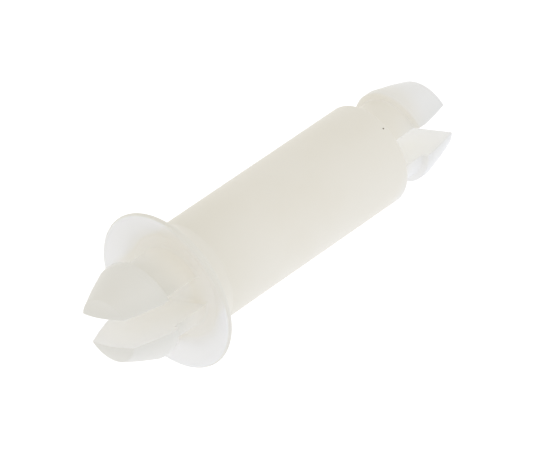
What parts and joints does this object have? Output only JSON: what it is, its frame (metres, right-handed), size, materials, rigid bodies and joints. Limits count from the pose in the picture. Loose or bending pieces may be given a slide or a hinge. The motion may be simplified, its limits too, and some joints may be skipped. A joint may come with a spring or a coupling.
{
  "type": "circuit board spacer",
  "caption": "Round snap-in plastic spacer that holds a circuit board off a chassis, with a split barbed head on each end and a dished skirt at the chassis end.",
  "frame": {"origin": "centre of the chassis-side shoulder, where the chassis sheet seats", "axes": "+Z along the barrel towards the chassis-side head, X across both slots, Y along the slots"},
  "size_m": [0.0076, 0.0076, 0.0209],
  "materials": {
    "nylon": "satin natural nylon, slightly translucent"
  },
  "bodies": {
    "barrel": {"barrel": "nylon"},
    "skirt": {"skirt": "nylon"},
    "chassis_prong_right": {"chassis_prong_right": "nylon"},
    "chassis_prong_left": {"chassis_prong_left": "nylon"},
    "board_prong_right": {"board_prong_right": "nylon"},
    "board_prong_left": {"board_prong_left": "nylon"}
  },
  "joints": [
    {"name": "chassis_right_flex", "type": "hinge", "parent": "barrel", "child": "chassis_prong_right", "pos_m": [0.00131, 0, 0.00045], "axis": [0, -1, 0], "range_deg": [0, 10], "stiffness_Nm_per_rad": 0.4},
    {"name": "chassis_left_flex", "type": "hinge", "parent": "barrel", "child": "chassis_prong_left", "pos_m": [-0.00131, 0, 0.00045], "axis": [0, 1, 0], "range_deg": [0, 10], "stiffness_Nm_per_rad": 0.4},
    {"name": "board_right_flex", "type": "hinge", "parent": "barrel", "child": "board_prong_right", "pos_m": [0.00131, 0, -0.01315], "axis": [0, 1, 0], "range_deg": [0, 10], "stiffness_Nm_per_rad": 0.4},
    {"name": "board_left_flex", "type": "hinge", "parent": "barrel", "child": "board_prong_left", "pos_m": [-0.00131, 0, -0.01315], "axis": [0, -1, 0], "range_deg": [0, 10], "stiffness_Nm_per_rad": 0.4},
    {"name": "skirt_flatten", "type": "slide", "parent": "barrel", "child": "skirt", "axis": [0, 0, -1], "range_m": [0, 0.0005], "stiffness_N_per_m": 10000}
  ]
}
